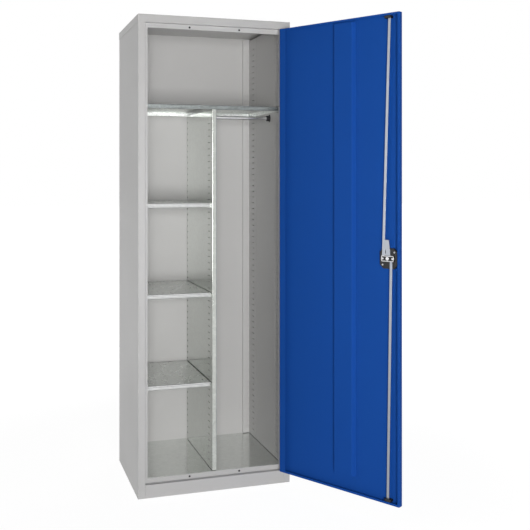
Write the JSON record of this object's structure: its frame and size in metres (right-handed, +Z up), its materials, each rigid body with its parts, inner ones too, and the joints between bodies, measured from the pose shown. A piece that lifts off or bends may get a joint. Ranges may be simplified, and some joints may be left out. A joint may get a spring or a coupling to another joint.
{
  "type": "wardrobe locker",
  "caption": "Tall steel wardrobe locker with a lockable hinged door, half shelves on one side of an upright divider and a hanging rail under a hat shelf.",
  "frame": {"origin": "on the floor, at the middle of the four floor anchor holes and of the carcass footprint", "axes": "+Z up, -Y out of the front, +X to the right seen from the front; the door is stored open 120.6 degrees on its right-hand hinges"},
  "size_m": [0.8664, 0.9442, 1.83],
  "materials": {
    "body_enamel": "light grey baked enamel, satin",
    "door_enamel": "gentian blue baked enamel, satin",
    "galvanised_sheet": "galvanised sheet, bright with fine spangle",
    "rail_steel": "bright zinc plated tube",
    "plated_steel": "zinc plated, satin",
    "lock_chrome": "nickel plated, polished",
    "black_plastic": "black moulded plastic, fine grain",
    "buffer_rubber": "black rubber"
  },
  "bodies": {
    "carcass": {"left_side_panel": "body_enamel", "right_side_panel": "body_enamel", "back_panel": "body_enamel", "top_panel": "body_enamel", "header_rail": "body_enamel", "plinth_rail": "body_enamel", "floor_panel": "body_enamel", "base_plate": "galvanised_sheet", "floor_bearer": "galvanised_sheet", "anchor_plates": "body_enamel", "left_side_liner": "body_enamel", "right_side_liner": "body_enamel", "divider": "galvanised_sheet", "hat_shelf": "galvanised_sheet", "hat_shelf_rivets": "plated_steel", "upper_half_shelf": "galvanised_sheet", "middle_half_shelf": "galvanised_sheet", "lower_half_shelf": "galvanised_sheet", "shelf_clips": "galvanised_sheet", "hanging_rail": "rail_steel", "rail_sockets": "black_plastic", "rail_screws": "plated_steel", "door_buffers": "buffer_rubber", "hinge_frame_leaves": "body_enamel", "hinge_pins": "plated_steel"},
    "door": {"door_panel": "door_enamel", "door_stiffener": "door_enamel", "hinge_door_leaves": "door_enamel", "lock_case": "black_plastic", "case_screws": "plated_steel", "lock_rose": "black_plastic", "upper_rod_guide": "black_plastic", "lower_rod_guide": "black_plastic"},
    "handle": {"turning_knob": "black_plastic", "spindle": "plated_steel", "cam_plate": "plated_steel", "cam_pins": "plated_steel", "cam_screw": "plated_steel"},
    "plug": {"key_plug": "lock_chrome"},
    "upper_bar": {"upper_rod": "galvanised_sheet"},
    "lower_bar": {"lower_rod": "galvanised_sheet"}
  },
  "joints": [
    {"name": "door_hinge", "type": "hinge", "parent": "carcass", "child": "door", "pos_m": [0.2745, -0.2323, 0.924], "axis": [0, 0, 1], "range_deg": [-120.6, 55]},
    {"name": "handle_turn", "type": "hinge", "parent": "door", "child": "handle", "pos_m": [0.52311, -0.6621, 0.924], "axis": [0.8607, 0.509, 0], "range_deg": [0, 90]},
    {"name": "lock_plug_turn", "type": "hinge", "parent": "handle", "child": "plug", "pos_m": [0.54032, -0.65192, 0.924], "axis": [0.8607, 0.509, 0], "range_deg": [0, 90]},
    {"name": "upper_rod_swing", "type": "hinge", "parent": "handle", "child": "upper_bar", "pos_m": [0.50303, -0.65074, 0.924], "axis": [0.8607, 0.509, 0], "range_deg": [-91.83, 0]},
    {"name": "lower_rod_swing", "type": "hinge", "parent": "handle", "child": "lower_bar", "pos_m": [0.52339, -0.68517, 0.924], "axis": [0.8607, 0.509, 0], "range_deg": [-91.35, 0]}
  ],
  "couplings": [
    {"joint": "upper_rod_swing", "follows": "handle_turn", "ratio": -1.0197},
    {"joint": "lower_rod_swing", "follows": "handle_turn", "ratio": -1.0144}
  ]
}
